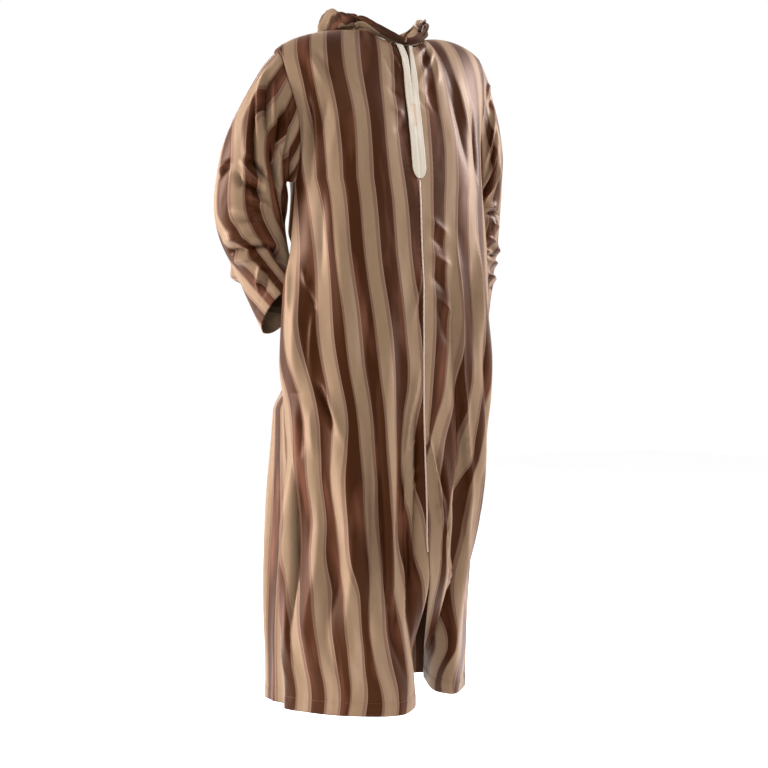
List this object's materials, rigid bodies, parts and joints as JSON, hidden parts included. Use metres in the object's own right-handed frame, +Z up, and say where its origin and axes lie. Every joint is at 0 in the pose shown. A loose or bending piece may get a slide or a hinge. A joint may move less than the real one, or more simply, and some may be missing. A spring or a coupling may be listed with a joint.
{
  "type": "hooded thobe",
  "caption": "Long striped hooded thobe in its hollow worn form, with set-in sleeves, a cream neck placket, a piped centre front and a front slit at the hem.",
  "frame": {"origin": "the middle of the shoulder line at the neck, where the wearer's shoulders hold the garment", "axes": "+Z up, -Y the front of the garment, -X the wearer's right side"},
  "size_m": [0.6667, 0.3708, 1.3971],
  "materials": {
    "striped_satin": "satin-striped cloth in dark brown and tan",
    "cream_trim": "plain cream trim"
  },
  "bodies": {
    "root": {"front_right": "striped_satin", "front_left": "striped_satin", "back": "striped_satin", "sleeve_right": "striped_satin", "sleeve_left": "striped_satin", "hood_right": "striped_satin", "hood_left": "striped_satin", "placket": "cream_trim", "piping": "cream_trim"}
  },
  "joints": []
}
